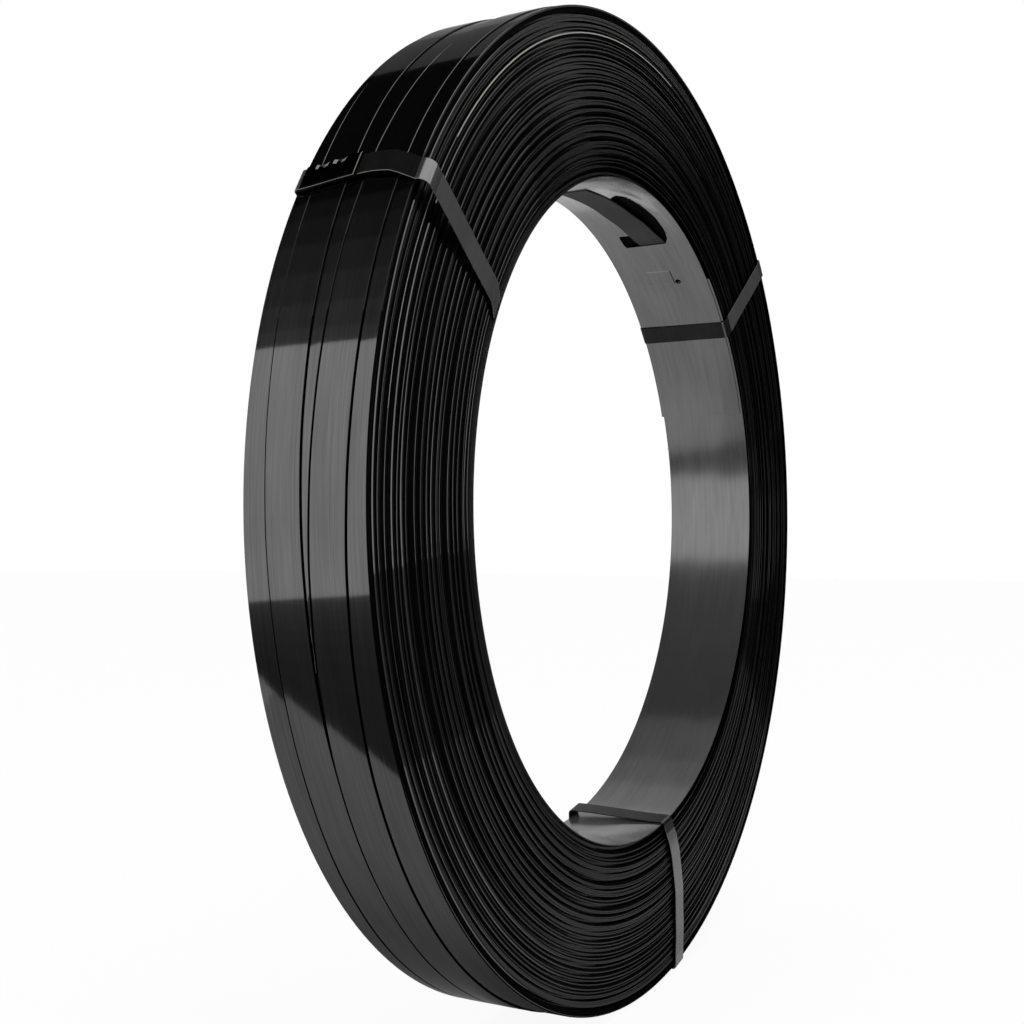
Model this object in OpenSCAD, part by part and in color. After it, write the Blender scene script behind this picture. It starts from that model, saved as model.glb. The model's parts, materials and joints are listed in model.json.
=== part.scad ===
// Coil of black steel strapping, cross-wound on a lapped steel core ring and tied with three binding straps.
// Millimetres. The coil stands on its rim with its axis along Y, and its open bore is centred on the origin.
// The modules work in the coil's own frame, with the axis along Z and the front end towards +Z,
// and angles run from +X over the top of the coil. stand_up() then sets the coil on its rim.

/* [Coil] */
// Outside diameter of the wound coil
coil_d = 600; // [520:1:700]
// Width of the coil from end to end
coil_w = 68; // [62:1:90]
// Diameter of the open bore inside the core ring
bore_d = 406.4; // [360:0.1:440]

/* [Strapping] */
// Width of the wound strapping
strapping_w = 19; // [13:0.1:25]
// Thickness of the wound strapping
strapping_t = 0.7; // [0.5:0.05:0.75]
// Radial distance from one turn that reaches the end of the coil to the next
turn_pitch = 2.4; // [1.8:0.1:4]
// Depth of the gaps between those turns
turn_gap_depth = 3; // [1.5:0.1:6]
// How far the turns' edges stray from the flush end of the coil
turn_stray = 1.2; // [0:0.1:1.4]
// Distance between the two outermost turns on the rim
outer_turn_gap = 6.6; // [1:0.1:10]
// Distance of the middle of that gap from the middle of the coil, towards the front
outer_turn_shift = 1.1; // [-3:0.1:3]

/* [Core ring] */
// Width of the ring's sheet
ring_w = 64; // [50:1:66]
// Thickness of the ring's sheet
ring_t = 0.7; // [0.5:0.05:1]
// Angle at which the ring's inner end lies
ring_end_angle = 22; // [15:1:30]
// Angle over which the ring's two ends lap
ring_lap_angle = 32; // [28:1:36]
// Space between the lapped sheets, and between the ring and the first turn
ring_clear = 0.1; // [0.05:0.05:0.3]

/* [Slot and tail] */
// Angle of the slot that holds the start of the strapping
slot_angle = 66.6; // [62:0.1:70]
// Width of the slot along the ring's sheet
slot_w = 12; // [10:0.5:16]
// Length of the slot across the ring's sheet
slot_l = 31; // [28:0.5:34]
// Length of the strapping's tail that lies in the bore
tail_l = 90; // [50:1:120]
// Distance of the tail's start from the middle of the ring, towards the front
tail_start_shift = 4.4; // [0:0.1:5]
// Distance of the tail's cut end from the middle of the ring, towards the back
tail_end_shift = 8.5; // [-4:0.1:14]
// Space between the tail and the ring
tail_clear = 0.1; // [0.05:0.05:0.3]

/* [Ring lock] */
// Length of the embossed lock along the ring's sheet
lock_l = 13; // [8:0.5:16]
// Width of the embossed lock across the ring's sheet
lock_w = 18; // [12:0.5:24]
// Height of the embossed lock
lock_h = 0.3; // [0.1:0.05:0.4]
// Diameter of the pierced hole beside the lock
lock_hole_d = 2.5; // [1.5:0.1:4]

/* [Binding straps] */
// Width of a binding strap
strap_w = 13; // [9:0.5:16]
// Thickness of a binding strap
strap_t = 0.6; // [0.4:0.05:0.7]
// Inside radius of a binding strap's bends
strap_bend = 1.5; // [0.6:0.1:1.8]
// Space between a binding strap and what it lies on
strap_clear = 0.1; // [0.05:0.05:0.2]
// Angle of the strap at the upper left
strap_left_angle = 149.3; // [125:0.1:165]
// Angle of the strap at the right
strap_right_angle = 40.6; // [36:0.1:44]
// Angle of the strap at the bottom
strap_bottom_angle = -78.4; // [-82:0.1:-40]

/* [Strap seals] */
// Length of the crimped seal that joins a strap's two ends
seal_l = 28; // [20:1:30]
// Thickness of the seal's sheet
seal_t = 0.5; // [0.4:0.05:0.7]
// Distance of the seal from the middle of the rim, towards the back
seal_shift = 15.5; // [10:0.5:15.5]
// Width of the opening between the seal's folded wings
seal_opening = 5; // [3:0.5:7]
// Length of each crimp notch in the seal's edges
notch_l = 5; // [3:0.5:6]
// Depth of each crimp notch
notch_d = 1.6; // [0.8:0.1:2.4]
// Distance between the two notches of an edge
notch_pitch = 12; // [8:0.5:14]
// How far a strap's ends stand out of its seal
strap_end_l = 2; // [1:0.5:2.5]

/* [Hidden] */
$fn = 240;

strapping_color = [0.07, 0.07, 0.075];
ring_color = [0.42, 0.43, 0.44];
strap_color = [0.12, 0.12, 0.125];

// The cutters reach this far past what they cut
past = 1;

coil_r = coil_d / 2;
half_w = coil_w / 2;
bore_r = bore_d / 2;

// The ring's sheet widens by one lap step over its second half turn
lap_step = ring_t + ring_clear;
ring_half_w = ring_w / 2;
lock_angle = ring_end_angle + ring_lap_angle;

// Radii of the winding: its first turn, and the layer that lies under the two outermost turns
first_turn_r = bore_r + lap_step + ring_t + ring_clear;
under_r = coil_r - strapping_t;
turn_floor = half_w - turn_gap_depth;
turn_count = floor((under_r - first_turn_r - strapping_t) / turn_pitch);
stray_step = 117;

// Edges of the two outermost turns on the rim
front_turn_edge = outer_turn_shift + outer_turn_gap / 2;
back_turn_edge = outer_turn_shift - outer_turn_gap / 2;

// The tail's two faces, and the angle that it takes up
tail_top_r = bore_r - tail_clear;
tail_low_r = tail_top_r - strapping_t;
tail_angle = degrees_on(tail_l, tail_top_r);

// Radii at which a flat strap clears the curved bore and the wings of its seal clear the rim
strap_bore_r = sqrt(pow(bore_r, 2) - pow(strap_w / 2, 2)) - strap_clear;
strap_rim_r = coil_r + seal_t + 2 * strap_clear;
strap_half_w = half_w + strap_clear;
seal_w = strap_w + 2 * (strap_clear + seal_t);
seal_low_r = coil_r + strap_clear;
seal_top_r = strap_rim_r + 2 * strap_t + strap_clear + seal_t;

// Angle that a length takes up on a circle
function degrees_on(length, radius) = length / radius * 180 / PI;

// Distance of a turn's edge from the middle of the coil
function turn_tip(i) = half_w - turn_stray * abs(sin(i * stray_step));

// Section of the turns that reach one end of the coil, from the rim inwards.
// The turns that reach the back lie between those that reach the front, half a pitch further in.
function end_turns(count, offset) = [
    [under_r, turn_tip(0)],
    [under_r - strapping_t, turn_tip(0)],
    [under_r - strapping_t, turn_floor],
    for (i = [1 : count - 1])
        let (r = under_r - (i + offset) * turn_pitch)
            each [
                [r, turn_floor],
                [r, turn_tip(i)],
                [r - strapping_t, turn_tip(i)],
                [r - strapping_t, turn_floor]
            ]
];

// Section of the rim from back to front: two turns stand on the layer under them
function rim_turns() = [
    [under_r, back_turn_edge - strapping_w],
    [coil_r, back_turn_edge - strapping_w],
    [coil_r, back_turn_edge],
    [under_r, back_turn_edge],
    [under_r, front_turn_edge],
    [coil_r, front_turn_edge],
    [coil_r, front_turn_edge + strapping_w],
    [under_r, front_turn_edge + strapping_w]
];

// Outline of the tail seen from the coil's axis: a strip that leans from its start to its cut end
function tail_outline() =
    let (reach = tail_l / 2 + past, half = strapping_w / 2)
        [
            [-reach, tail_start_shift - half],
            [reach, -tail_end_shift - half],
            [reach, -tail_end_shift + half],
            [-reach, tail_start_shift + half]
        ];

function reversed(points) = [for (i = [len(points) - 1 : -1 : 0]) points[i]];
function other_end(points) = [for (p = points) [p[0], -p[1]]];

// Sets the coil, made with its axis along Z, on its rim with its front end towards -Y
module stand_up() {
    rotate([90, 0, 0]) children();
}

// Part of a ring about the Z axis, from one angle to another
module ring_part(from, to, low_r, high_r, low_z, high_z) {
    rotate([0, 0, from])
        rotate_extrude(angle = to - from)
            translate([low_r, low_z])
                square([high_r - low_r, high_z - low_z]);
}

// Rectangle between two corners, with its four corners rounded
module rounded_rectangle(low, high, r) {
    translate([low[0] + r, low[1]]) square([high[0] - low[0] - 2 * r, high[1] - low[1]]);
    translate([low[0], low[1] + r]) square([high[0] - low[0], high[1] - low[1] - 2 * r]);
    for (x = [low[0] + r, high[0] - r], y = [low[1] + r, high[1] - r])
        translate([x, y]) circle(r);
}

// The wound turns as one turned body, with the turn edges on its ends
module winding() {
    front = end_turns(turn_count, 0);
    back = end_turns(turn_count - 1, 0.5);
    rotate_extrude()
        polygon(concat(
            [[first_turn_r, -turn_floor]],
            reversed(other_end(back)),
            rim_turns(),
            front,
            [[first_turn_r, turn_floor]]
        ));
}

// The start of the strapping: it comes in through the ring's slot and lies along the bore
module tail() {
    half_angle = tail_angle / 2;
    bend_angle = degrees_on(strapping_t, tail_top_r);
    rotate([0, 0, slot_angle + half_angle])
        intersection() {
            union() {
                ring_part(-half_angle, half_angle, tail_low_r, tail_top_r, -half_w, half_w);
                ring_part(-half_angle, bend_angle - half_angle, tail_low_r, first_turn_r + past, -half_w, half_w);
            }
            rotate([90, 0, 90])
                linear_extrude(coil_r)
                    polygon(tail_outline());
        }
}

module strapping_coil() {
    color(strapping_color)
        stand_up() {
            winding();
            tail();
        }
}

// The ring's sheet, rolled once round: half a turn on the bore, half a turn that climbs by one lap step
// about a centre half a step away, and the end that laps over the start
module ring_sheet() {
    rotate([0, 0, ring_end_angle]) {
        ring_part(0, 180, bore_r, bore_r + ring_t, -ring_half_w, ring_half_w);
        translate([lap_step / 2, 0, 0])
            ring_part(180, 360, bore_r + lap_step / 2, bore_r + lap_step / 2 + ring_t,
                -ring_half_w, ring_half_w);
        ring_part(0, ring_lap_angle, bore_r + lap_step, bore_r + lap_step + ring_t,
            -ring_half_w, ring_half_w);
    }
}

// Embossed lock that keeps the lapped ends together, on the ring's inner face
module ring_lock() {
    ring_part(lock_angle, lock_angle + degrees_on(lock_l, bore_r),
        bore_r - lock_h, bore_r + ring_t / 2, -lock_w / 2, lock_w / 2);
}

module ring_lock_hole() {
    rotate([0, 0, lock_angle])
        translate([bore_r - past, 0, lock_w / 2 + lock_hole_d / 2])
            rotate([0, 90, 0])
                cylinder(d = lock_hole_d, h = past + ring_t + ring_clear / 2);
}

module ring_slot() {
    half = degrees_on(slot_w / 2, bore_r);
    ring_part(slot_angle - half, slot_angle + half, bore_r - past, bore_r + ring_t + past,
        -slot_l / 2, slot_l / 2);
}

module core_ring() {
    color(ring_color)
        stand_up()
            difference() {
                union() {
                    ring_sheet();
                    ring_lock();
                }
                ring_slot();
                ring_lock_hole();
            }
}

// A strap bent round the coil's section, with one end lapped over the other on the rim
module binding_strap(angle) {
    low = [strap_bore_r, -strap_half_w];
    high = [strap_rim_r, strap_half_w];
    sheet = [strap_t, strap_t];
    lap_half = seal_l / 2 + strap_end_l;
    color(strap_color)
        stand_up()
            rotate([0, 0, angle])
                rotate([90, 0, 0])
                    linear_extrude(strap_w, center = true) {
                        difference() {
                            rounded_rectangle(low - sheet, high + sheet, strap_bend + strap_t);
                            rounded_rectangle(low, high, strap_bend);
                        }
                        translate([strap_rim_r, -seal_shift - lap_half])
                            square([2 * strap_t, 2 * lap_half]);
                    }
}

// Outline of the seal's sheet, folded round the two strap ends with its wings under them
module seal_outline() {
    difference() {
        translate([seal_low_r, -seal_w / 2])
            square([seal_top_r - seal_low_r, seal_w]);
        translate([seal_low_r + seal_t, -seal_w / 2 + seal_t])
            square([seal_top_r - seal_low_r - 2 * seal_t, seal_w - 2 * seal_t]);
        translate([seal_low_r - past, -seal_opening / 2])
            square([seal_t + 2 * past, seal_opening]);
    }
}

module strap_seal(angle) {
    color(strap_color)
        stand_up()
            rotate([0, 0, angle])
                translate([0, 0, -seal_shift])
                    difference() {
                        linear_extrude(seal_l, center = true) seal_outline();
                        for (side = [-1, 1], along = [-1, 1])
                            translate([(seal_low_r + seal_top_r) / 2, side * seal_w / 2, along * notch_pitch / 2])
                                cube([seal_top_r - seal_low_r + 2 * past, 2 * notch_d, notch_l], center = true);
                    }
}

strapping_coil();
core_ring();
binding_strap(strap_left_angle);  // binding_strap_left
binding_strap(strap_right_angle);  // binding_strap_right
binding_strap(strap_bottom_angle);  // binding_strap_bottom
strap_seal(strap_left_angle);  // strap_seal_left
strap_seal(strap_right_angle);  // strap_seal_right
strap_seal(strap_bottom_angle);  // strap_seal_bottom
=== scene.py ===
# %% [markdown]
# This lesson dresses a coil of black steel strapping for a picture. The solids of the coil, its core
# ring, its binding straps and their seals come from a CAD model and stay as the frame. Everything is in
# metres. The coil's axis lies along Y, its front end is towards -Y, and it stands on its rim with Z up.

# %% Load the solids
import json
import math
import random

import bmesh
import bpy
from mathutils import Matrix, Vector
from mathutils.geometry import delaunay_2d_cdt


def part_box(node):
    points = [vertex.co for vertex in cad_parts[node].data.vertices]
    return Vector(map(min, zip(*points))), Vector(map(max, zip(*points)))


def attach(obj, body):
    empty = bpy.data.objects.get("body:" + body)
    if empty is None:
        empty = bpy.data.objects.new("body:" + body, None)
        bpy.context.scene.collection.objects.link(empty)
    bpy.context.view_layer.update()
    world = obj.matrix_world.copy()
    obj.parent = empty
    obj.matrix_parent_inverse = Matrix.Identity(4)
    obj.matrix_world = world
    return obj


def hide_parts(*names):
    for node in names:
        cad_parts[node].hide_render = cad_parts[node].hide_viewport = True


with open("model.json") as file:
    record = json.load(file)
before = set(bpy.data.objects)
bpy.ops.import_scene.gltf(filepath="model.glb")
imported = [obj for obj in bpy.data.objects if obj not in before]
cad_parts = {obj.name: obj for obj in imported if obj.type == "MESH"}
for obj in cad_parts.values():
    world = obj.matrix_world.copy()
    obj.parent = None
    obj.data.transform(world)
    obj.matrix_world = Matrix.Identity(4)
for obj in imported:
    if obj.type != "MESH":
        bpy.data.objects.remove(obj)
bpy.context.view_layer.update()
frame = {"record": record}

# %% [markdown]
# The picture is taken from the front and left of the coil, at about the height of its middle. A camera
# can be aimed by a constraint. Here its rotation is worked out once from the direction it looks in.

# %% Place the camera
scene = bpy.context.scene
scene.view_settings.view_transform = "Standard"


def aim(thing, place, direction):
    thing.location = place
    thing.rotation_mode = "QUATERNION"
    thing.rotation_quaternion = direction.to_track_quat("-Z", "Y")
    scene.collection.objects.link(thing)


camera_place = Vector((-0.7751, -0.3649, -0.0185))
camera_direction = Vector((0.8772, 0.4797, 0.0209))
camera_data = bpy.data.cameras.new("camera")
camera_data.lens = 47.45
camera_data.sensor_width = 36.0
camera_data.clip_start = 0.02
camera = bpy.data.objects.new("camera", camera_data)
aim(camera, camera_place, camera_direction)
scene.camera = camera
print("camera at", camera_place[:])

# %% [markdown]
# All the pieces are bent round one axis, so a point is most easily given by its angle round that axis,
# its distance from it and its place along it. The angle is counted in degrees from +X over the top of the
# coil. The main sizes are read from the solids, so that the pieces fit them.

# %% Sizes of the coil
MM = 0.001
coil_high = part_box("strapping_coil")[1]
ring_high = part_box("core_ring")[1]
coil_r = coil_high[0]
half_width = coil_high[1]
ring_half_width = ring_high[1]
bore_r = frame["record"]["mounts"][0]["dims"]["r_mm"] * MM
strip_width = 19 * MM
strip_t = 0.7 * MM
print("coil radius", coil_r, "half width", half_width, "bore radius", bore_r)

# %% Places on the coil
even_share = 0.65


def on_coil(angle, radius, along):
    turn = math.radians(angle)
    return Vector((radius * math.cos(turn), along, radius * math.sin(turn)))


def ease(value):
    """From 0 to 1 with a soft start and a soft end."""
    value = min(1.0, max(0.0, value))
    return value * value * (3.0 - 2.0 * value)


def through(stops, at):
    """A line through stops of (place, value), a little softened at each stop and level outside them."""
    if at <= stops[0][0]:
        return stops[0][1]
    for (a, low), (b, high) in zip(stops, stops[1:]):
        if at <= b:
            part = (at - a) / (b - a)
            return low + (high - low) * ((1.0 - even_share) * ease(part) + even_share * part)
    return stops[-1][1]


print("top of the rim at", on_coil(90.0, coil_r, 0.0)[:])

# %% [markdown]
# Strip, strap and seal are all bars of one cross-section carried along a path. A curve with a bevel could
# do it, but here each section is worked out by itself, because the strips drift and ride over each other.
# One helper skins a row of sections into a closed shape. Another joins closed shapes into one object,
# with a finish for each face, hangs it under the root and hides the solid that it stands for.

# %% Skin a row of sections
def skin(sections, loop=False):
    """Closed shape over a row of sections: a ring if it loops, and otherwise a bar with two end faces."""
    count = len(sections[0])
    points = [point for section in sections for point in section]
    faces = []
    steps = len(sections) if loop else len(sections) - 1
    for step in range(steps):
        here = step * count
        there = ((step + 1) % len(sections)) * count
        for corner in range(count):
            following = (corner + 1) % count
            faces.append((here + corner, here + following, there + following, there + corner))
    if not loop:
        faces.append(tuple(range(count)))
        faces.append(tuple(range(len(points) - count, len(points))))
    return points, faces


print("a bar of two triangles has", len(skin([[0, 1, 2]] * 2)[1]), "faces")

# %% Join shapes into a piece
def add_piece(name, shapes, materials, node, sharp=32):
    """Join closed shapes, each with the number of the finish for each face, into one object."""
    points = []
    faces = []
    finishes = []
    for shape_points, shape_faces, finish in shapes:
        first = len(points)
        points.extend(shape_points)
        faces.extend(tuple(first + corner for corner in face) for face in shape_faces)
        finishes.extend(finish)
    mesh = bpy.data.meshes.new(name)
    mesh.from_pydata(points, [], faces)
    mesh.polygons.foreach_set("material_index", finishes)
    work = bmesh.new()
    work.from_mesh(mesh)
    bmesh.ops.recalc_face_normals(work, faces=work.faces)
    work.to_mesh(mesh)
    work.free()
    mesh.polygons.foreach_set("use_smooth", [True] * len(mesh.polygons))
    mesh.set_sharp_from_angle(angle=math.radians(sharp))
    for material in materials:
        mesh.materials.append(material)
    piece = bpy.data.objects.new(name, mesh)
    scene.collection.objects.link(piece)
    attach(piece, "root")
    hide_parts(node)
    triangles = sum(len(face.vertices) - 2 for face in mesh.polygons)
    print(name, "has", triangles, "triangles")


# %% [markdown]
# The strapping is black: a thin waxed lacquer over steel, smooth enough to mirror with a clear edge, with
# fine streaks where the strip ran through rollers. A brushed look can come from anisotropic shading. Here
# noise stretched along the strip is enough. Its coordinates are the angle round the axis, the place along
# it and the distance from it.

# %% Coordinates that follow the strip
def new_material(name):
    material = bpy.data.materials.new(name)
    material.use_nodes = True
    nodes = material.node_tree.nodes
    links = material.node_tree.links
    shader = nodes["Principled BSDF"]
    return material, nodes, links, shader


def round_axis(nodes, links, per_turn, per_metre):
    """Coordinates that count the angle round the axis and the distances across it."""
    place = nodes.new("ShaderNodeTexCoord")
    split = nodes.new("ShaderNodeSeparateXYZ")
    links.new(place.outputs["Object"], split.inputs["Vector"])
    angle = nodes.new("ShaderNodeMath")
    angle.operation = "ARCTAN2"
    links.new(split.outputs["X"], angle.inputs[0])
    links.new(split.outputs["Z"], angle.inputs[1])
    flat = nodes.new("ShaderNodeCombineXYZ")
    links.new(split.outputs["X"], flat.inputs["X"])
    links.new(split.outputs["Z"], flat.inputs["Z"])
    radius = nodes.new("ShaderNodeVectorMath")
    radius.operation = "LENGTH"
    links.new(flat.outputs["Vector"], radius.inputs[0])
    joined = nodes.new("ShaderNodeCombineXYZ")
    links.new(angle.outputs["Value"], joined.inputs["X"])
    links.new(split.outputs["Y"], joined.inputs["Y"])
    links.new(radius.outputs["Value"], joined.inputs["Z"])
    stretch = nodes.new("ShaderNodeVectorMath")
    stretch.operation = "MULTIPLY"
    stretch.inputs[1].default_value = (per_turn, per_metre, per_metre)
    links.new(joined.outputs["Vector"], stretch.inputs[0])
    return stretch.outputs["Vector"]


print("length of a turn", 2 * math.pi * coil_r)

# %% Noise, ramp, spread and bump
def noise(nodes, links, vector, scale, detail):
    texture = nodes.new("ShaderNodeTexNoise")
    texture.inputs["Scale"].default_value = scale
    texture.inputs["Detail"].default_value = detail
    links.new(vector, texture.inputs["Vector"])
    return texture.outputs["Fac"]


def ramp(nodes, links, factor, stops):
    steps = nodes.new("ShaderNodeValToRGB")
    while len(steps.color_ramp.elements) < len(stops):
        steps.color_ramp.elements.new(0.5)
    for element, (place, colour) in zip(steps.color_ramp.elements, stops):
        element.position = place
        element.color = (*colour, 1.0)
    links.new(factor, steps.inputs["Fac"])
    return steps.outputs["Color"]


def spread(nodes, links, factor, low, high):
    rescale = nodes.new("ShaderNodeMapRange")
    rescale.inputs["To Min"].default_value = low
    rescale.inputs["To Max"].default_value = high
    links.new(factor, rescale.inputs["Value"])
    return rescale.outputs["Result"]


def bump(nodes, links, shader, height, strength, distance):
    relief = nodes.new("ShaderNodeBump")
    relief.inputs["Strength"].default_value = strength
    relief.inputs["Distance"].default_value = distance
    links.new(height, relief.inputs["Height"])
    links.new(relief.outputs["Normal"], shader.inputs["Normal"])


print("helpers for noise, colour and bump are made")

# %% Rolled steel
streaks_per_turn = 5.0
clouds_per_turn = 4.0
clouds_per_metre = 60.0
streak_share = 0.55
cloud_share = 0.45
dark_at = 0.3
light_at = 0.7
relief_depth = 0.0001


def rolled_steel(name, dark, light, metal, smooth, rough, streak=1100.0, relief=0.06, glance=1.0):
    """Steel with streaks along the strip. A low glance keeps it dark where it is seen at a flat angle."""
    material, nodes, links, shader = new_material(name)
    shader.inputs["Metallic"].default_value = metal
    shader.inputs["Specular Tint"].default_value = (glance, glance, glance, 1.0)
    streaks = noise(nodes, links, round_axis(nodes, links, streaks_per_turn, streak), 1.0, 3.0)
    clouds = noise(nodes, links, round_axis(nodes, links, clouds_per_turn, clouds_per_metre), 1.0, 4.0)
    part = nodes.new("ShaderNodeMath")
    part.operation = "MULTIPLY"
    part.inputs[1].default_value = cloud_share
    links.new(clouds, part.inputs[0])
    both = nodes.new("ShaderNodeMath")
    both.operation = "MULTIPLY_ADD"
    both.inputs[1].default_value = streak_share
    links.new(streaks, both.inputs[0])
    links.new(part.outputs["Value"], both.inputs[2])
    mixed = both.outputs["Value"]
    colour = ramp(nodes, links, mixed, [(dark_at, dark), (light_at, light)])
    links.new(colour, shader.inputs["Base Color"])
    links.new(spread(nodes, links, mixed, smooth, rough), shader.inputs["Roughness"])
    bump(nodes, links, shader, streaks, relief, relief_depth)
    return material


print("streaks take", streak_share, "of the mix and clouds", cloud_share)

# %% [markdown]
# The same steel looks different from place to place. The lacquered flat of the strip mirrors and its
# sheared edges are dull. Edges deep in the winding have painted shade, and some edges are darker at
# random. Scraped edges and the rubbed edges of straps and seals are bare, while upper corners of the rim
# and the long slopes of the ring's lock have a painted highlight. One finish could hold all of this with
# a mask. A few finishes, one for each face, are simpler to read and export as they are.

# %% Finishes of the strapping
black = rolled_steel("black_strapping", (0.11, 0.11, 0.112), (0.185, 0.185, 0.188), 1.0, 0.04, 0.09,
                     relief=0.03, glance=0.6)
sheared_edge = rolled_steel("sheared_edge", (0.03, 0.03, 0.0306), (0.066, 0.066, 0.067), 0.95, 0.26, 0.4,
                            glance=0.76)
# Near-black edge steel: painted shade on the walls and deep turns of the ridges, on the rim's lower front
# corners and on the winding's inner face, and a darker tone on the outermost ridge and random tips.
shade_and_tone_edge = rolled_steel("shade_and_tone_edge", (0.005, 0.005, 0.0052), (0.014, 0.014, 0.0144), 0.95, 0.26, 0.4,
                         glance=0.3)
# Bright bare steel: wear on the edges of straps and seals, and a painted highlight on the rim's upper
# front corners and on the long slopes of the ring's lock.
wear_and_highlight_edge = rolled_steel("wear_and_highlight_edge", (0.2, 0.198, 0.19), (0.3, 0.296, 0.284), 1.0, 0.24, 0.38)
scratched = rolled_steel("scratched_edge", (0.3, 0.292, 0.262), (0.46, 0.446, 0.4), 0.5, 0.35, 0.5)
drawn_strip = rolled_steel("drawn_strip", (0.062, 0.062, 0.063), (0.09, 0.09, 0.092), 0.9, 0.24, 0.34,
                           streak=900.0, relief=0.08, glance=0.35)
print("finishes so far", len(bpy.data.materials))

# %% Finishes of the ring, straps and seals
grey = rolled_steel("grey_core", (0.18, 0.18, 0.184), (0.25, 0.25, 0.255), 0.86, 0.11, 0.2,
                    streak=500.0, relief=0.05)
strap_black = rolled_steel("binding_strap", (0.12, 0.12, 0.123), (0.18, 0.18, 0.184), 0.66, 0.16, 0.26,
                           streak=900.0, relief=0.08)
# Near-black strap steel: painted shade on the rim run, the lower front run and the bore run.
shaded_strap_steel = rolled_steel("painted_shade_strap", (0.012, 0.012, 0.0122), (0.026, 0.026, 0.0265), 0.7, 0.3, 0.42,
                          streak=900.0, relief=0.08)
# Brighter strap steel: a painted highlight on the front bend.
painted_highlight_strap = rolled_steel("painted_highlight_strap", (0.22, 0.22, 0.223), (0.3, 0.3, 0.304), 0.9, 0.12, 0.2,
                            streak=900.0, relief=0.06)
seal_black = rolled_steel("seal", (0.012, 0.012, 0.0122), (0.03, 0.03, 0.0305), 1.0, 0.24, 0.38,
                          streak=900.0, relief=0.1, glance=0.3)
print("finishes in all", len(bpy.data.materials))

# %% [markdown]
# The ends show the edges of the turns. The strip was led from side to side as it was wound, so some edges
# come right out and others stop short, in ridges with gaps between them. The floors of the gaps and the
# walls between turns have painted shade. A turned solid with grooves would give perfect circles. Here
# each edge is a thin closed ring of its own, which wanders a little in and out and sinks away over part
# of the turn.

# %% Sizes of the turns
segments = 180
ridge_count = 20
turns_in_ridge = 5
first_turn_r = 204.9 * MM
last_turn_r = 298.9 * MM
ridge_pitch = (last_turn_r - first_turn_r) / ridge_count
edge_t = 0.8 * MM
edge_gap = 0.03 * MM
band_foot = half_width - 7.0 * MM
print("pitch of the ridges", ridge_pitch)

# %% Waves of the edges
dish_r = 218.0 * MM
dish_reach = 13.0 * MM
dish_depth = 3.4 * MM
dish_least = 0.3 * MM


def wander(rng, sizes):
    """A slow wave round the coil, from a few sines with seeded phases."""
    waves = [(count, size * MM, rng.uniform(0, 2 * math.pi)) for count, size in sizes]
    return lambda turn: sum(size * math.sin(count * turn + phase) for count, size, phase in waves)


def sinking(rng, most):
    """How far an edge sinks into the end over one part of the turn."""
    middle = rng.uniform(0, 2 * math.pi)
    reach = math.radians(rng.uniform(35, 90))
    depth = rng.uniform(0.3, most) * MM

    def sink(turn):
        away = abs((turn - middle + math.pi) % (2 * math.pi) - math.pi)
        return depth * ease(1.0 - away / reach)
    return sink


def dish(side, radius, turn):
    """The turns next to the bore lie deeper on one half of the end."""
    near_bore = ease((dish_r - radius) / dish_reach)
    return dish_depth * near_bore * (0.5 + 0.5 * side * math.cos(turn)) + dish_least * near_bore


print("depth next to the bore", dish(1, first_turn_r, 0.0))

# %% Tips of the turns
plain_bevel = 0.12 * MM
bevel_lean = 1.1


def flat_tip(turn, inner, outer, tip):
    return [(inner, band_foot), (inner, tip), (outer, tip), (outer, band_foot)]


def bevelled_tip(turn, inner, outer, tip):
    """An edge that is flat where the strip was slit, with a small bevel on its outer corner."""
    return [(inner, band_foot), (inner, tip), (outer - plain_bevel, tip),
            (outer, tip - bevel_lean * plain_bevel), (outer, band_foot)]


def twice_bevelled_tip(bevel, inner_size):
    """The outer turn of a ridge stands out, so its inner corner is rubbed a little as well."""
    def shape(turn, inner, outer, tip):
        size = bevel(turn)
        return [(inner, band_foot), (inner, tip - inner_size), (inner + inner_size, tip),
                (outer - size, tip), (outer, tip - bevel_lean * size), (outer, band_foot)]
    return shape


print("plain bevel", plain_bevel)

# %% Rubbed corners
rubbed_ridges = (0, 1, 4, 6)
least_bevel = 0.04 * MM
least_rub = 0.3


def corner_bevel(rng, rubbed):
    """Size of the bevel on a ridge's outer turn. A rubbed ridge is worn most on the left of the end."""
    wave = wander(rng, [(1, 0.03), (2, 0.03), (3, 0.02)])
    mean = (rng.uniform(0.34, 0.42) if rubbed else rng.uniform(0.06, 0.14)) * MM

    def bevel(turn):
        angle = math.degrees(turn)
        share = 1.0
        if rubbed:
            on_left = ease((angle - 120.0) / 35.0) * ease((270.0 - angle) / 40.0)
            share = least_rub + (1.0 - least_rub) * on_left
        return max(least_bevel, mean * share + wave(turn))
    return bevel


print("rubbed ridges, from the rim", rubbed_ridges)

# %% One turn's edge
def edge_inset(step_back, waves, more):
    """How far a turn's edge stays short of the end, from its own step and its waves."""
    return lambda turn: max(0.0, step_back * MM + sum(wave(turn) for wave in waves)) + more


def edge_band(side, radius, inset, shift, shape):
    """Closed ring of one turn's edge, with the section that the shape gives."""
    sections = []
    for step in range(segments):
        turn = 2 * math.pi * step / segments
        tip = half_width - inset(turn) - dish(side, radius, turn)
        outer = radius + shift(turn)
        outline = shape(turn, outer - edge_t, outer, tip)
        sections.append([on_coil(math.degrees(turn), r, side * y) for r, y in outline])
    return skin(sections, loop=True)


print("each edge has", segments, "steps round the coil")

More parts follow.
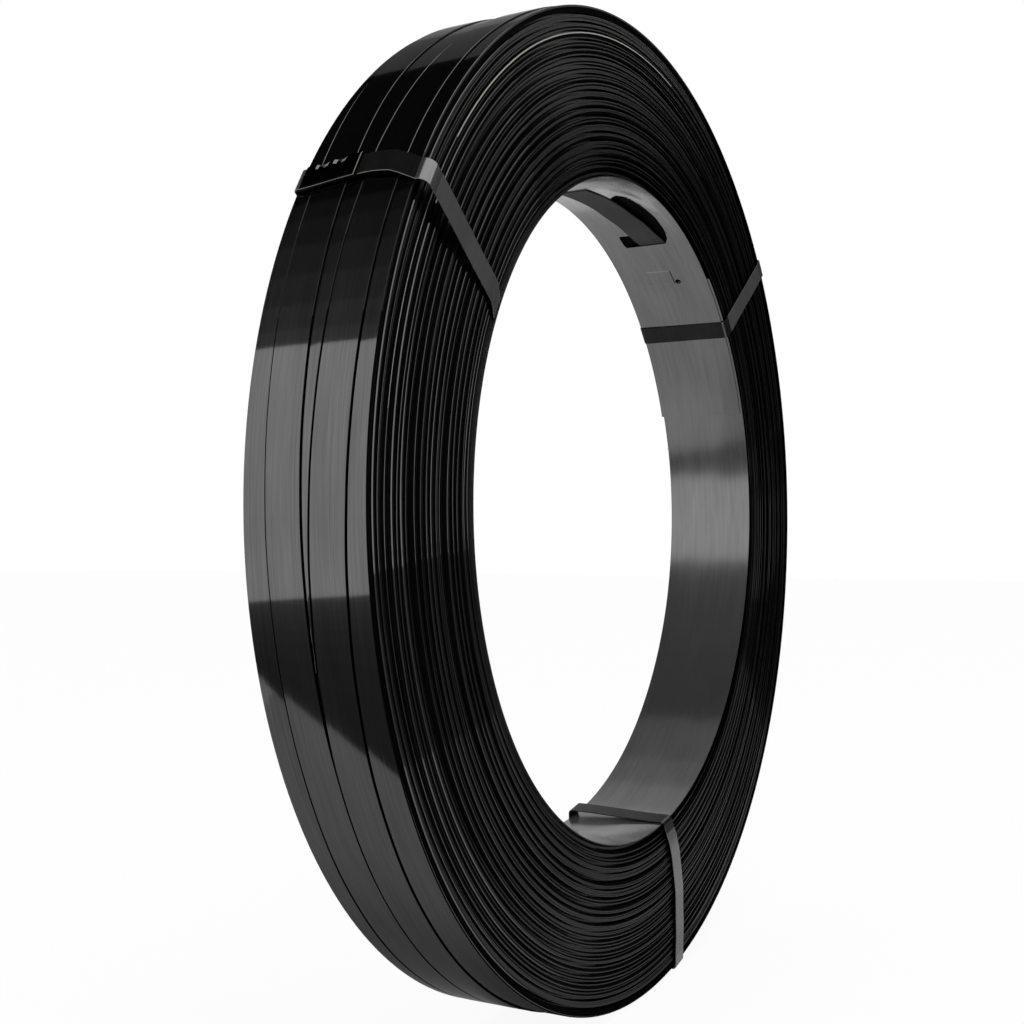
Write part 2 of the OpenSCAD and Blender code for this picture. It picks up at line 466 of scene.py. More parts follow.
# %% Ridges of turns
# Finishes of the ends. The walls of a ridge's inner turns and its deep turn, which floors the gap, have
# painted shade. The outermost ridge and a share of tips picked at random are darker in tone.
bright, cut, scraped, shade_and_dark_tone = range(4)
end_finishes = [black, sheared_edge, scratched, shade_and_tone_edge]
scraped_tip = (78, 142)
scraped_corner = (78, 172)
deep_step = 3.0 * MM
dark_tone_share = 0.34


def scrape(finish):
    """Bare metal along a part of a ridge's outer turn, on its tip and on its outer corner."""
    for step in range(segments):
        angle = step * 360 / segments
        if scraped_tip[0] < angle < scraped_tip[1]:
            finish[step * 6 + 2] = scraped
        if scraped_corner[0] < angle < scraped_corner[1]:
            finish[step * 6 + 3] = scraped


def turn_edges(side, seed, scraped_ridge):
    """Ridges of four turns with one deep turn between them."""
    rng = random.Random(seed)
    shapes = []
    for ridge in range(ridge_count):
        outer = last_turn_r - ridge * ridge_pitch - rng.uniform(0.0, 0.25) * MM
        wave = wander(rng, [(1, 0.2), (2, 0.14), (3, 0.08), (5, 0.05)])
        sink = sinking(rng, 1.5 if rng.random() < 0.6 else 0.4)
        shift = wander(rng, [(1, 0.09), (2, 0.06), (4, 0.03)])
        bevel = corner_bevel(rng, ridge in rubbed_ridges)
        step_back = rng.uniform(0.1, 0.8)
        for number in range(turns_in_ridge):
            own = wander(rng, [(1, 0.1), (2, 0.08), (4, 0.05)])
            late = sinking(rng, 1.0)
            deep = number == turns_in_ridge - 1
            inset = edge_inset(step_back, (wave, own, sink, late), deep_step if deep else 0.0)
            if number == 0:
                tip_shape = twice_bevelled_tip(bevel, rng.uniform(0.02, 0.07) * MM)
                finish = [cut, bright, shade_and_dark_tone if ridge == 0 else cut, bright, cut, cut] * segments
                if ridge == scraped_ridge:
                    scrape(finish)
            # The deep turn lies at the floor of the gap and has painted shade all over.
            elif deep:
                tip_shape = flat_tip
                finish = [shade_and_dark_tone] * 4 * segments
            else:
                tip_shape = bevelled_tip
                tone = shade_and_dark_tone if ridge == 0 or rng.random() < dark_tone_share else cut
                finish = [shade_and_dark_tone, tone, tone, shade_and_dark_tone, shade_and_dark_tone] * segments
            radius = outer - number * (edge_t + edge_gap)
            shapes.append((*edge_band(side, radius, inset, shift, tip_shape), finish))
            step_back += rng.uniform(0.1, 0.42)
    return shapes


print("each end has", ridge_count * turns_in_ridge, "edges")

# %% Both ends
front_shapes = turn_edges(-1, 19, 3)
back_shapes = turn_edges(1, 23, None)
add_piece("front_turns", front_shapes, end_finishes, "strapping_coil", sharp=35)
add_piece("back_turns", back_shapes, end_finishes, "strapping_coil", sharp=35)

# %% [markdown]
# On the rim the last layer shows as flat strips with dark seams. The last turn comes up out of the front
# strip, crosses the rim slowly to the back end and comes part of the way back, so it is seen twice on the
# side towards the camera. It ends just past the bottom binding strap, which holds it down. The other
# strips lie a little lower and fill what it leaves open. A strip could be a mesh bent by a curve. Here
# each is skinned from its two edges.

# %% Way of the last turn
last_turn_start = 20.0
last_turn_end = 650.0
last_turn_places = [(20, -24.0), (45, -23.5), (75, -20.0), (100, -17.0), (131, -14.5), (150, -15.0),
                    (163, -14.9), (172, -14.5), (180, -13.7), (188, -12.4), (196, -10.8), (205, -9.0),
                    (220, -7.0), (234, -5.0), (243, -3.5), (300, 4.0), (360, 12.0), (420, 20.0),
                    (450, 23.3), (470, 22.5), (492, 19.5), (510, 14.7), (523, 13.0), (532, 11.7),
                    (540, 10.9), (548, 10.5), (556, 10.4), (565, 10.7), (580, 12.7), (594, 15.1),
                    (603, 16.6), (643, 21.9), (650, 22.8)]


def front_edge(angle):
    return through(last_turn_places, angle) * MM - 0.5 * strip_width


def back_edge(angle):
    return through(last_turn_places, angle) * MM + 0.5 * strip_width


print("the last turn goes round", (last_turn_end - last_turn_start) / 360.0, "times")

# %% One strip of the rim
# Front corner of a rim strip: a painted highlight from 92 to 147 degrees, fading to painted shade on the
# corner and the front wall from 163 to 300 degrees. The body's inner face has painted shade as well.
lacquer, cut_wall, painted_shade_wall, painted_highlight_corner, half_shade_corner = range(5)
rim_finishes = [black, sheared_edge, shade_and_tone_edge, wear_and_highlight_edge, drawn_strip]
corner_light_steps = [(0.0, lacquer), (92.0, painted_highlight_corner), (147.0, half_shade_corner), (155.0, cut_wall),
                (163.0, painted_shade_wall), (300.0, lacquer)]
seam_floor_r = 298.3 * MM
strip_foot_r = seam_floor_r - 0.1 * MM
rim_round = 0.15 * MM
crown = 0.04 * MM
degrees_a_step = 1.5


def step_value(steps, at):
    """Value of the last step that begins at or before this place."""
    return [value for place, value in steps if place <= at][-1]


def rim_strip(first, last, start_at, end_at, top_at):
    """Strip between two edges. Its front corner has a painted highlight high on the rim and painted shade
    lower down, where its front wall has painted shade too.
    """
    sections = []
    finish = []
    count = int((last - first) / degrees_a_step)
    for step in range(count + 1):
        angle = first + (last - first) * step / count
        start = start_at(angle)
        end = max(end_at(angle), start + 3 * rim_round)
        top = top_at(angle)
        outline = [(strip_foot_r, start), (top - rim_round, start), (top, start + rim_round),
                   (top + crown, 0.5 * (start + end)), (top, end - rim_round), (top - rim_round, end),
                   (strip_foot_r, end)]
        sections.append([on_coil(angle, r, y) for r, y in outline])
        if step < count:
            corner = step_value(corner_light_steps, angle % 360.0)
            wall = painted_shade_wall if corner == painted_shade_wall else cut_wall
            finish += [wall, corner, lacquer, lacquer, lacquer, cut_wall, cut_wall]
    return (*skin(sections), finish + [cut_wall, cut_wall])


print("finishes of the rim", len(rim_finishes))

# %% Heights of the strips
strip_low_r = 299.3 * MM
rise_at_start = 0.75 * MM
rise_at_back = 0.62 * MM


def low_level(angle):
    return strip_low_r


def last_turn_level(angle):
    return coil_r - rise_at_start * (1.0 - ease((angle - last_turn_start) / 30.0))


def back_level(angle):
    """The back strip rises beside the last turn on the side towards the camera."""
    return strip_low_r + rise_at_back * ease((angle - 545.0) / 40.0)


print("rise of the last turn", coil_r - strip_low_r)

# %% Edges of the strips
rim_edge = half_width - 0.4 * MM
seam_before_high = 0.75 * MM
seam_before_low = 1.45 * MM
front_strip_limit = -14.6 * MM
below_limit = -14.3 * MM


def rim_front(angle):
    return -rim_edge


def rim_back(angle):
    return rim_edge


def before_last_turn(angle):
    return front_edge(angle) - seam_before_high


def front_strip_end(angle):
    return min(front_strip_limit, before_last_turn(angle))


def below_start(angle):
    if angle < last_turn_start + 360.0:
        return below_limit
    return back_edge(angle - 360.0) + seam_before_low


def after_last_turn(angle):
    return back_edge(angle) + seam_before_low


def back_start(angle):
    """The seam behind the last turn opens a little towards the floor."""
    return back_edge(angle) + (0.6 + 0.3 * ease((angle - 560.0) / 40.0)) * seam_before_low


print("seams are", seam_before_high, "and", seam_before_low, "m wide")

# %% Strips of the rim
front_from, front_to = 53.0, 380.5
below_from, below_to = 246.0, 555.0
far_from, far_to = 286.0, 442.0
back_from, back_to = 464.0, 650.0
rim_shapes = [
    rim_strip(last_turn_start, last_turn_end, front_edge, back_edge, last_turn_level),
    rim_strip(front_from, front_to, rim_front, front_strip_end, low_level),
    rim_strip(below_from, below_to, below_start, before_last_turn, low_level),
    rim_strip(far_from, far_to, after_last_turn, rim_back, low_level),
    rim_strip(back_from, back_to, back_start, rim_back, back_level),
]
print("strips on the rim", len(rim_shapes))

# %% [markdown]
# Under the strips and between the two ends lies the body of the winding. Only the floors of the seams and
# its inner face behind the core ring's slot show of it; that face has painted shade. It could be left
# out, but light would then leak through the seams, so it is a plain closed ring in the same piece.

# %% Body of the winding
inside_r = 204.85 * MM
body_half_width = half_width - 4.5 * MM


def body_ring():
    outline = [(inside_r, -body_half_width), (seam_floor_r, -body_half_width),
               (seam_floor_r, body_half_width), (inside_r, body_half_width)]
    sections = [[on_coil(360 * step / segments, r, y) for r, y in outline] for step in range(segments)]
    # The inner face, seen through the slot, has painted shade; the other faces are cut steel.
    return (*skin(sections, loop=True), [cut_wall, cut_wall, cut_wall, painted_shade_wall] * segments)


rim_shapes.append(body_ring())
add_piece("rim_strips", rim_shapes, rim_finishes, "strapping_coil")

# %% [markdown]
# The core ring is a grey sheet, punched flat and then rolled, with its ends lapped. It is made here in
# the same order: a flat blank is cut into triangles with its holes left out, then rolled up and given its
# thickness. Cutting the holes from a rolled ring with booleans would leave long thin faces that shade
# badly. On the blank a place is given by its angle in degrees and by its distance from the middle in
# millimetres.

# %% Slot, hole and lock of the blank
mm_a_degree = bore_r * math.radians(1.0) / MM
slot_outline = [(65.5, -15.3), (67.0, -18.4), (70.0, -19.9), (74.0, -19.9), (78.0, -18.3), (82.0, -15.7),
                (84.8, -12.6), (86.0, -9.2), (84.8, -3.0), (79.0, -4.4), (74.0, -8.2), (69.3, -12.0),
                (69.3, 14.6), (68.4, 15.5), (66.2, 15.5), (65.4, 14.6)]
hole_middle = (54.3, -10.4)
hole_half = (0.6, 2.2)
lock_hole = []
for step in range(12):
    turn = math.radians(30 * step)
    lock_hole.append((hole_middle[0] + hole_half[0] * math.cos(turn),
                      hole_middle[1] + hole_half[1] * math.sin(turn)))
lock_low = (53.9, -7.9)
lock_high = (57.6, 10.6)
lock_slope = 0.45


def lock_outline(inset):
    """Outline of the embossed lock, or of its raised top if it is set in."""
    step = inset / mm_a_degree
    ax, ay = lock_low[0] + step, lock_low[1] + inset
    bx, by = lock_high[0] - step, lock_high[1] - inset
    corners = [(ax, ay), (bx, ay), (bx, by), (ax, by)]
    outline = []
    for (px, py), (qx, qy) in zip(corners, corners[1:] + corners[:1]):
        outline.extend((px + (qx - px) * k / 8, py + (qy - py) * k / 8) for k in range(8))
    return outline


print("millimetres a degree", mm_a_degree)

# %% Points of the blank
lap_start = 22.0
lap_end = 54.0
blank_end = 360.0 + lap_end
fine_from = 50.0
fine_to = 98.0


def inside(outline, x, y):
    hit = False
    for (ax, ay), (bx, by) in zip(outline, outline[1:] + outline[:1]):
        if (ay > y) != (by > y) and x < ax + (y - ay) * (bx - ax) / (by - ay):
            hit = not hit
    return hit


def in_a_hole(angle, y):
    return inside(slot_outline, angle, y) or inside(lock_hole, angle, y)


def filling_points(front, back):
    """Points all over the blank, close together round the slot and the lock."""
    points = []
    angle = lap_start + 0.5
    while angle < blank_end - 0.3:
        fine = fine_from < angle < fine_to
        across = 1.2 if fine else 4.0
        y = front + 0.5 * across
        while y < back - 0.2:
            if not in_a_hole(angle, y):
                points.append((angle, y))
            y += across
        angle += 0.35 if fine else 1.0
    return points


print("the sheet laps itself over", lap_end - lap_start, "degrees")

# %% Cut the blank of the core ring
def cut_blank():
    """Triangles of the flat blank, without the slot and the hole."""
    front = -ring_half_width / MM
    back = ring_half_width / MM
    steps = int(round(blank_end - lap_start))
    border = [(lap_start + k, front) for k in range(steps + 1)]
    border += [(blank_end - k, back) for k in range(steps + 1)]
    places = []
    edges = []
    for outline in (border, slot_outline, lock_hole, lock_outline(0.0), lock_outline(lock_slope)):
        start = len(places)
        places.extend(outline)
        edges.extend((start + k, start + (k + 1) % len(outline)) for k in range(len(outline)))
    places.extend(filling_points(front, back))
    flat_points = [Vector((angle * mm_a_degree, y)) for angle, y in places]
    flat, _, triangles, _, _, _ = delaunay_2d_cdt(flat_points, edges, [], 1, 1e-4)
    kept = []
    for triangle in triangles:
        angle = sum(flat[k].x for k in triangle) / 3 / mm_a_degree
        y = sum(flat[k].y for k in triangle) / 3
        if not in_a_hole(angle, y):
            kept.append(tuple(triangle))
    return [(point.x / mm_a_degree, point.y) for point in flat], kept


blank_points, blank_faces = cut_blank()
print("blank has", len(blank_faces), "triangles")

# %% [markdown]
# Now the blank is rolled. Each of its points goes to its place round the axis, a little further out where
# the sheet laps itself, a little further in on the embossed lock, and outward on the lip beside the slot.
# A bend modifier could roll it as well, but not with the lap and the embossing in one step.

# %% Shape of the rolled sheet
lap_step = 0.8 * MM
lock_height = 0.45 * MM
lip_height = 0.7 * MM
lip_places = [(64, -17.5), (70, -20.8), (76, -20.2), (82, -17.2), (88, -12.5), (93, -10.5)]
lip_half = 9.0
ring_wave = wander(random.Random(5), [(3, 0.05), (7, 0.05), (13, 0.03)])


def to_lock_side(angle):
    return min(angle - lock_low[0], lock_high[0] - angle) * mm_a_degree


def ring_inner_r(angle, y):
    """Inner face of the sheet, with its lap, its lock and the lip beside the slot."""
    radius = bore_r + lap_step * ease((angle - 202.0) / 180.0)
    radius += ring_wave(math.radians(angle) + 0.02 * y)
    to_end = min(y - lock_low[1], lock_high[1] - y)
    lock = min(1.0, max(0.0, min(to_lock_side(angle), to_end) / lock_slope))
    lip = ease((angle - 63.0) / 8.0) * ease((92.0 - angle) / 8.0)
    lip *= ease(1.0 - abs(y - through(lip_places, angle)) / lip_half)
    return radius - lock_height * lock + lip_height * lip


def ring_lean(angle):
    """The ring sits a little askew in the coil, and its outer end has crept towards the front."""
    return -0.6 * MM * math.cos(math.radians(angle)) - 1.6 * MM * ease((angle - 230.0) / 130.0)


print("inner radius beside the lap", ring_inner_r(200.0, 0.0))

# %% Roll the blank into the core ring
# Ring finishes: grey sheet, a painted highlight on the lock's long slopes, and dark steel on cut edges,
# which is painted shade on the lock's short slopes.
sheet, painted_highlight_lock, cut_edge_and_shade = range(3)
ring_finishes = [grey, wear_and_highlight_edge, sheared_edge]
ring_t = 0.7 * MM
width_share = 0.975


def blank_finish(face):
    """The lock's long slopes have a painted highlight, its short ones painted shade, and the rest is
    grey.
    """
    angle = sum(blank_points[k][0] for k in face) / 3
    y = sum(blank_points[k][1] for k in face) / 3
    if not inside(lock_outline(0.0), angle, y) or inside(lock_outline(lock_slope), angle, y):
        return sheet
    return painted_highlight_lock if to_lock_side(angle) < lock_slope else cut_edge_and_shade


def wall_finish(wall):
    """Cut edges are dark, apart from the front and back edges of the lap."""
    angle, y = blank_points[wall[0]]
    on_lap = lap_start <= angle <= lap_end + 2.0 and abs(y) > 0.95 * ring_half_width / MM
    return sheet if on_lap else cut_edge_and_shade


def roll_blank():
    """Closed shell of the ring: the blank on both faces of the sheet, with walls along its open edges."""
    inner = []
    outer = []
    for angle, y in blank_points:
        radius = ring_inner_r(angle, y)
        along = width_share * y * MM + ring_lean(angle)
        inner.append(on_coil(angle, radius, along))
        outer.append(on_coil(angle, radius + ring_t, along))
    count = len(inner)
    outer_faces = [tuple(count + k for k in reversed(face)) for face in blank_faces]
    used = {}
    for face in blank_faces:
        for a, b in zip(face, face[1:] + face[:1]):
            used[(a, b)] = True
    walls = [(b, a, count + a, count + b) for a, b in used if (b, a) not in used]
    finish = [blank_finish(face) for face in blank_faces] + [sheet] * len(outer_faces)
    finish += [wall_finish(wall) for wall in walls]
    return inner + outer, list(blank_faces) + outer_faces + walls, finish


add_piece("core_sheet", [roll_blank()], ring_finishes, "core_ring", sharp=40)

# %% [markdown]
# The strapping's start is drawn through the slot and lies in the bore as a tail. It comes from behind the
# sheet, tips through the slot and follows the sheet, drifting towards the back end. It could be a plane
# bent by a curve. It is skinned from sections, as the strips of the rim are, so that it meets the slot.

# %% Tail of the strapping
tail_start = 61.0
tail_end = 92.4
tail_step = 0.8
tail_round = 0.27 * MM
tail_places = [(61, -6.5), (66, -5.2), (72, -1.2), (78, 3.2), (92.4, 10.8)]


def tail():
    sections = []
    angle = tail_start
    while angle <= tail_end:
        middle = through(tail_places, angle) * MM
        lift = 1.2 - 1.9 * ease((angle - 63.5) / 5.0)
        top = bore_r + lift * MM
        bottom = top + strip_t + 0.15 * MM
        start = middle - 0.5 * strip_width
        end = middle + 0.5 * strip_width
        outline = [(bottom, start), (top + tail_round, start), (top, start + tail_round),
                   (top, end - tail_round), (top + tail_round, end), (bottom, end)]
        sections.append([on_coil(angle, r, y) for r, y in outline])
        angle += tail_step
    points, faces = skin(sections)
    return points, faces, [0] * len(faces)


add_piece("strapping_tail", [tail()], [drawn_strip], "strapping_coil")

# %% [markdown]
# Three flat straps tie the coil. Each goes from the rim over the front edge, through the bore and over
# the rear edge to lap its own start. It is stiff, so it bends in small rounds and bows between them. A
# bevelled curve would twist at the bends, so the path is written as steps in the coil's section. The way
# along it is counted by bends: 1 and 2 in front, 3 and 4 at the rear.

# %% Path of a binding strap
strap_width = 13 * MM
strap_t = 0.6 * MM
strap_round = 0.16 * MM
bend_r = 2.2 * MM
seal_far = 31.5
seal_way = 0.45


def bend(path, r, y, start, size, way):
    """Quarter round at a corner of the coil's section."""
    for step in range(9):
        turn = math.radians(start + 11.25 * step)
        path.append((r + size * math.sin(turn), y + size * math.cos(turn), way))


def strap_path(stand, rise, front_in, rear_in, lift):
    """Steps once round the section of the coil: distance from the axis, place along it, and the way."""
    rim_r = coil_r + 0.95 * MM
    rear_rim_r = rim_r + strap_t + 0.05 * MM
    bore_run_r = bore_r - 0.6 * MM
    lifted_r = bore_run_r - lift
    face = half_width + 0.5 * MM
    path = []
    for y in (seal_far, 24.0, 16.0, 8.0, 0.0):
        path.append((rim_r, y * MM, seal_way * (seal_far - y) / seal_far))
    for step in range(1, 6):
        part = step / 6
        path.append((rim_r + rise * math.sin(math.pi * part), -part * 30.0 * MM, seal_way + 0.45 * part))
    front_bend = bend_r + 0.5 * stand
    top = rim_r - front_bend
    bend(path, top, -face - stand + front_bend, 90, front_bend, 1.0)
    bow = [(0.0, face + stand), (0.78, face + 0.15 * stand), (0.88, face), (1.0, face - front_in)]
    for step in range(1, 16):
        part = step / 16
        path.append((top + (bore_run_r + bend_r - top) * part, -through(bow, part), 1.0 + part))
    bend(path, bore_run_r + bend_r, -face + front_in + bend_r, 180, bend_r, 2.0)
    bore_run = 2 * face - front_in - rear_in - 2 * bend_r
    for step in range(1, 8):
        part = step / 8
        y = -face + front_in + bend_r + part * bore_run
        path.append((bore_run_r - lift * ease(part), y, 2.0 + part))
    bend(path, lifted_r + bend_r, face - rear_in - bend_r, 270, bend_r, 3.0)
    rear_run = rear_rim_r - lifted_r - 2 * bend_r
    for step in range(1, 12):
        part = step / 12
        y = face - rear_in * (1.0 - ease(part / 0.25)) + 0.8 * MM * math.sin(math.pi * part)
        path.append((lifted_r + bend_r + rear_run * part, y, 3.0 + part))
    bend(path, rear_rim_r - bend_r, face - bend_r, 0, bend_r, 4.0)
    for y in (24.0, 16.0, 8.0, 0.5):
        path.append((rear_rim_r, y * MM, 4.0 + (seal_far - y) / seal_far))
    return path


strap_paths = {
    "left": strap_path(6.0 * MM, 1.8 * MM, 4.2 * MM, 0.0, 0.3 * MM),
    "right": strap_path(0.3 * MM, 0.0, 0.4 * MM, 3.0 * MM, 0.3 * MM),
    "bottom": strap_path(0.5 * MM, 0.0, 1.3 * MM, 2.0 * MM, 3.5 * MM),
}
print("each strap has", len(strap_paths["left"]), "steps")

# %% Finish of a strap
lacquered, bare, painted_shade_run, painted_highlight_bend = range(4)
strap_finishes = [strap_black, wear_and_highlight_edge, shaded_strap_steel, painted_highlight_strap]


def strap_finish(path, step, shade_from):
    """Painted shade on the rim, low on the front and in the bore, a painted highlight on the front bend,
    and lacquer on the rest.
    """
    way = path[step][2]
    inner_bend = [number for number, place in enumerate(path) if place[2] == 2.0]
    if way < 1.0 or shade_from < way < 2.0 or 2.0 < way <= 3.0:
        return painted_shade_run
    if way == 1.0:
        return painted_highlight_bend
    if way == 2.0:
        return lacquered if inner_bend[4] < step < inner_bend[-1] else painted_shade_run
    return lacquered


print("finishes of a strap", len(strap_finishes))

# %% Strap along its path
def strap_shape(angle, path, drift, shade_from, worn):
    """Strap along a path, which drifts to one side or the other on its way."""
    sections = []
    radial = on_coil(angle, 1.0, 0.0)
    across = on_coil(angle + 90.0, 1.0, 0.0)
    half = 0.5 * strap_width
    thick = 0.5 * strap_t
    corners = [(-half, -thick + strap_round), (-half, thick - strap_round), (-half + strap_round, thick),
               (half - strap_round, thick), (half, thick - strap_round), (half, -thick + strap_round),
               (half - strap_round, -thick), (-half + strap_round, -thick)]
    for step, (r, y, way) in enumerate(path):
        before = path[max(0, step - 1)]
        after = path[min(len(path) - 1, step + 1)]
        run = Vector((after[0] - before[0], after[1] - before[1])).normalized()
        outward = radial * -run.y + Vector((0.0, run.x, 0.0))
        place = on_coil(angle, r, y) + across * through(drift, way) * MM
        sections.append([place + across * w + outward * t for w, t in corners])
    points, faces = skin(sections)
    finish = [lacquered] * len(faces)
    for step in range(len(sections) - 1):
        finish[step * 8:step * 8 + 8] = [strap_finish(path, step, shade_from)] * 8
        if worn and path[step][2] < 2.0:
            finish[step * 8 + 1] = bare
            finish[step * 8 + 3] = bare
    return points, faces, finish


print("a strap is", strap_width, "by", strap_t, "m")

# %% Three binding straps
strap_angles = {"left": 149.3, "right": 40.6, "bottom": -78.4}
strap_drifts = {
    "left": [(0.0, -0.1), (0.45, -5.0), (0.75, -2.8), (1.0, 3.7), (2.0, 6.0), (3.0, 5.0), (4.0, -0.1),
             (5.0, -5.0)],
    "right": [(0.0, -3.7), (1.0, -3.7), (2.0, 2.2), (3.0, 2.2), (4.0, -3.7), (5.0, -3.7)],
    "bottom": [(0.0, -4.2), (1.0, -4.2), (1.25, 1.8), (1.5, 6.0), (1.75, 5.2), (2.0, 0.0), (3.0, -3.9),
               (4.0, -4.2)],
}
# Where on the front run the painted shade begins, counted along the way.
shade_from = {"left": 2.0, "right": 1.9, "bottom": 1.93}
for side, angle in strap_angles.items():
    shape = strap_shape(angle, strap_paths[side], strap_drifts[side], shade_from[side], side != "right")
    add_piece("strap_" + side, [shape], strap_finishes, "binding_strap_" + side)

# %% [markdown]
# A seal is a short sleeve of sheet folded round the two ends of the strap and crimped. The crimps bite
# through the lacquer, so the metal shows bright there. It could be a box with dents cut into it. Here the
# sleeve is skinned along its length, and its upper edge is pressed in where the jaws have bitten.

# %% Shape of a seal
seal_body, seal_edge, seal_bite = range(3)
seal_finishes = [seal_black, wear_and_highlight_edge, scratched]
seal_start = 0.4 * MM
seal_end = 30.5 * MM
seal_half = 7.6 * MM
seal_t = 0.6 * MM
seal_stations = 58
crimp_places = (0.38, 0.71)
crimp_reach = 0.16
crimp_in = 1.3 * MM
crimp_down = 0.45 * MM


def seal_section(pinch):
    """Outline of the sleeve, with its upper edge pinched in."""
    upper = seal_half - crimp_in * pinch
    top = 1.5 * strap_t + 0.1 * MM + seal_t
    low = -0.5 * strap_t - 0.05 * MM
    dent = crimp_down * pinch
    return [(-upper, low), (-upper, top - 0.5 * MM - dent), (-upper + 1.6 * MM, top - dent),
            (-upper + 3.2 * MM, top), (0.0, top + 0.08 * MM), (seal_half - 3.0 * MM, top),
            (seal_half - 0.25 * MM, top), (seal_half, top - 0.25 * MM), (seal_half, low),
            (seal_half - 0.5 * MM, low), (0.0, low + 0.02 * MM), (-upper + 0.5 * MM, low)]


def seal_shape(angle, drift):
    sections = []
    pinches = []
    rim_r = coil_r + 1.0 * MM
    radial = on_coil(angle, 1.0, 0.0)
    across = on_coil(angle + 90.0, 1.0, 0.0)
    for station in range(seal_stations):
        part = station / (seal_stations - 1)
        y = seal_start + (seal_end - seal_start) * part
        pinch = sum(ease(1.0 - abs(part - middle) / crimp_reach) for middle in crimp_places)
        pinches.append(pinch)
        sideways = through(drift, seal_way * (seal_far - y / MM) / seal_far) * MM
        place = on_coil(angle, rim_r, y) + across * sideways
        sections.append([place + across * w + radial * t for w, t in seal_section(pinch)])
    points, faces = skin(sections)
    finish = [seal_body] * len(faces)
    for station in range(seal_stations - 1):
        finish[station * 12 + 6] = seal_edge
        if 0.2 < pinches[station] < 0.8:
            finish[station * 12 + 1:station * 12 + 3] = [seal_bite, seal_bite]
    finish[1:6] = [seal_bite] * 5
    return points, faces, finish


print("length of a seal", seal_end - seal_start)

# %% Three seals
for side, angle in strap_angles.items():
    shape = seal_shape(angle, strap_drifts[side])
    add_piece("seal_" + side, [shape], seal_finishes, "strap_seal_" + side, sharp=50)

# %% [markdown]
# The coil stands on a pale floor in white surroundings. Brighter lamps could make the background white,
# but they would bleach the coil. So the floor and the world turn white only for the rays that are seen,
# and stay plain for those that light the coil. The floor keeps a little of its own shading, so that the
# coil's shadow lies on it.

# %% Boards that are seen as white
def plain_board(name, corners, shade):
    mesh = bpy.data.meshes.new(name)
    mesh.from_pydata([Vector(corner) for corner in corners], [], [(0, 1, 2, 3)])
    board = bpy.data.objects.new(name, mesh)
    scene.collection.objects.link(board)
    material, nodes, links, shader = new_material(name)
    shader.inputs["Base Color"].default_value = (shade, shade, shade, 1.0)
    shader.inputs["Roughness"].default_value = 0.9
    shader.inputs["Specular IOR Level"].default_value = 0.1
    mesh.materials.append(material)
    return board


def white_when_seen(nodes, links):
    """One for rays that are seen, straight, mirrored or through glass, and nothing for other light."""
    ray = nodes.new("ShaderNodeLightPath")
    seen = ray.outputs["Is Camera Ray"]
    for kind in ("Is Glossy Ray", "Is Transmission Ray"):
        either = nodes.new("ShaderNodeMath")
        either.operation = "MAXIMUM"
        links.new(seen, either.inputs[0])
        links.new(ray.outputs[kind], either.inputs[1])
        seen = either.outputs["Value"]
    return seen


print("materials so far", len(bpy.data.materials))

# %% Floor
floor_z = -coil_r - 0.0002
floor_reach = 9.0
floor_shade = 0.86
white_share = 0.93
corner_signs = ((-1, -1), (1, -1), (1, 1), (-1, 1))
floor_corners = [(x * floor_reach, y * floor_reach, floor_z) for x, y in corner_signs]
floor = plain_board("floor", floor_corners, floor_shade)
floor_nodes = floor.data.materials[0].node_tree.nodes
floor_links = floor.data.materials[0].node_tree.links
glow = floor_nodes.new("ShaderNodeEmission")
glow.inputs["Strength"].default_value = 1.0
mostly = spread(floor_nodes, floor_links, white_when_seen(floor_nodes, floor_links), 0.0, white_share)
blend = floor_nodes.new("ShaderNodeMixShader")
floor_links.new(mostly, blend.inputs["Fac"])
floor_links.new(floor_nodes["Principled BSDF"].outputs["BSDF"], blend.inputs[1])
floor_links.new(glow.outputs["Emission"], blend.inputs[2])
floor_links.new(blend.outputs["Shader"], floor_nodes["Material Output"].inputs["Surface"])
print("floor at", round(floor_z, 4))

# %% World
world = bpy.data.worlds.new("studio")
world.use_nodes = True
scene.world = world
world_nodes = world.node_tree.nodes
world_links = world.node_tree.links
background = world_nodes["Background"]
background.inputs["Color"].default_value = (1.0, 1.0, 1.0, 1.0)
unseen_light = 0.85
seen_light = 1.0
is_seen = white_when_seen(world_nodes, world_links)
strength = spread(world_nodes, world_links, is_seen, unseen_light, seen_light)
world_links.new(strength, background.inputs["Strength"])
print("world", world.name)

# %% [markdown]
# Black shiny steel shows whatever is round it, so dark cards hang where the steel should stay black, and
# gaps are left where a light band should lie. An image of a studio would do as well, but cards are easier
# to move. They are seen only in reflections. A soft change is a row of cards, each a little lighter than
# the one before.

# %% Dark cards
def dark_card(name, corners, shade):
    card = plain_board(name, corners, shade)
    card.visible_camera = False
    card.visible_diffuse = False
    card.visible_shadow = False


def upright_card(name, start, end, low, high, shade):
    (ax, ay), (bx, by) = start, end
    dark_card(name, [(ax, ay, low), (bx, by, low), (bx, by, high), (ax, ay, high)], shade)


def level_card(name, outline, height, shade):
    dark_card(name, [(x, y, height) for x, y in outline], shade)


def box_card(name, low, high, height, shade):
    (ax, ay), (bx, by) = low, high
    level_card(name, [(ax, ay), (bx, ay), (bx, by), (ax, by)], height, shade)


